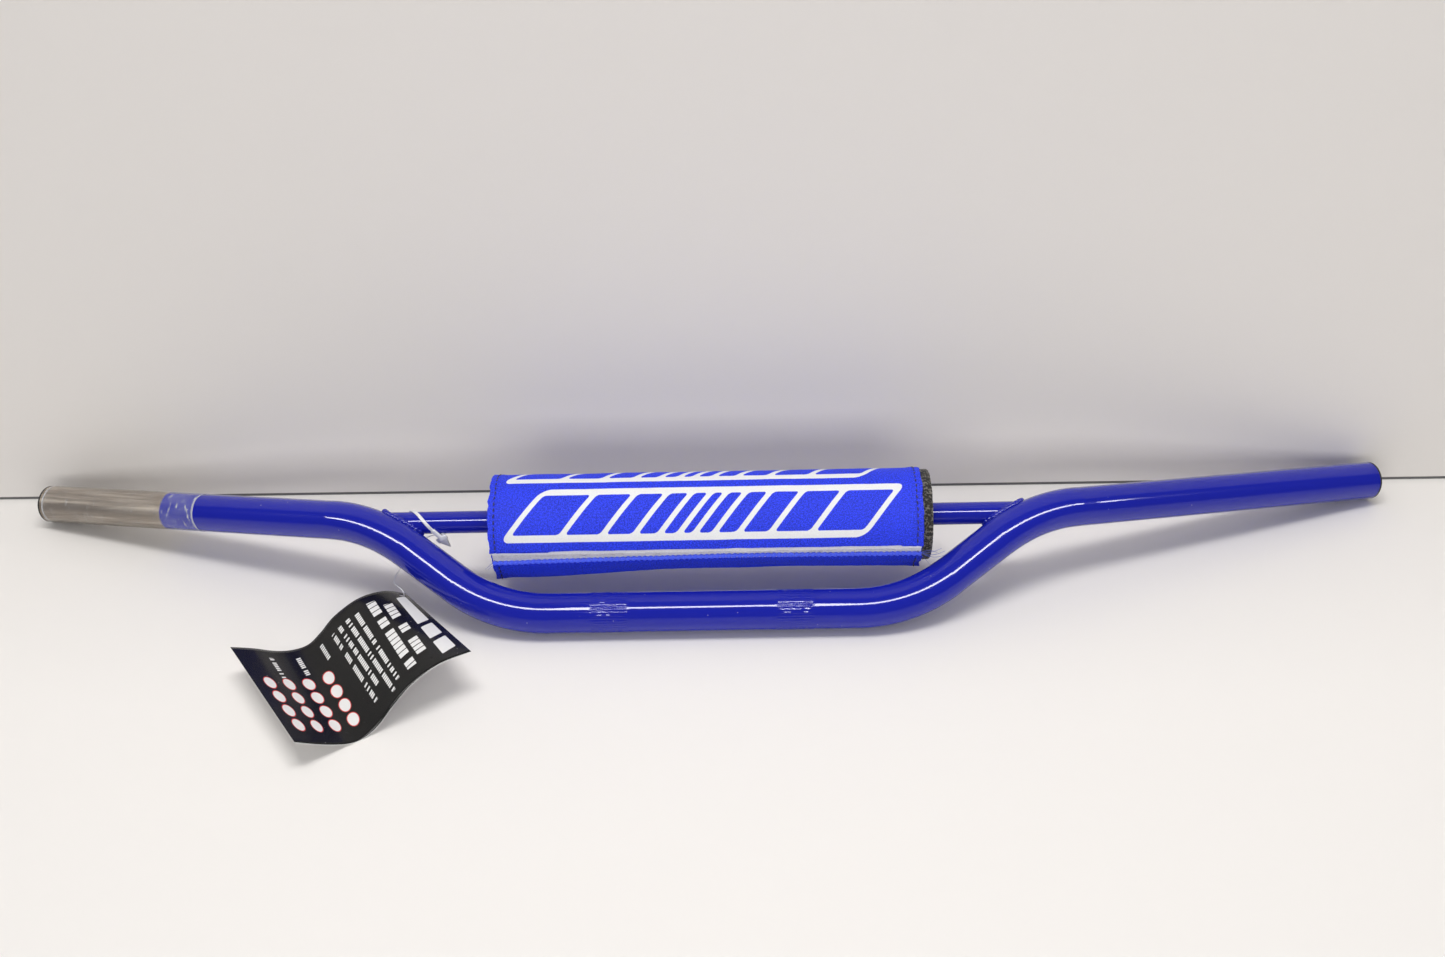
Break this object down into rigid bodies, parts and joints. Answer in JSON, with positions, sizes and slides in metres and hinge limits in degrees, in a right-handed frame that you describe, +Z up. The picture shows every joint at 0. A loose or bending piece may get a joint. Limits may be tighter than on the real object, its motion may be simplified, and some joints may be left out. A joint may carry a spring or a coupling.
{
  "type": "handlebar",
  "caption": "Wide bent tube handlebar with a welded crossbar, a printed cloth pad around it, knurled clamp bands, end plugs and a curled card tag.",
  "frame": {"origin": "on the axis of the clamp section at the middle of the bar's width", "axes": "+X along the clamp section's axis, which is the bar's width; +Y from the clamp section back to the grip ends; +Z up from the surface that the bar lies on"},
  "size_m": [0.816, 0.2302, 0.0673],
  "materials": {
    "blue_paint": "gloss powder coat",
    "black_plastic": "satin",
    "clear_film": "clear gloss",
    "grey_foam": "open cell foam",
    "blue_cloth": "woven polyester, printed",
    "white_tape": "hook and loop pile",
    "black_card": "gloss print",
    "clear_nylon": "translucent"
  },
  "bodies": {
    "root": {"main_tube": "blue_paint", "crossbar": "blue_paint", "left_weld": "blue_paint", "right_weld": "blue_paint", "left_end_plug": "black_plastic", "right_end_plug": "black_plastic", "film_sleeve": "clear_film", "foam_core": "grey_foam", "pad_cover": "blue_cloth", "loop_tape": "white_tape", "hook_tape": "white_tape", "swing_tag": "black_card", "tag_lock": "clear_nylon", "tag_filament": "clear_nylon"}
  },
  "joints": []
}
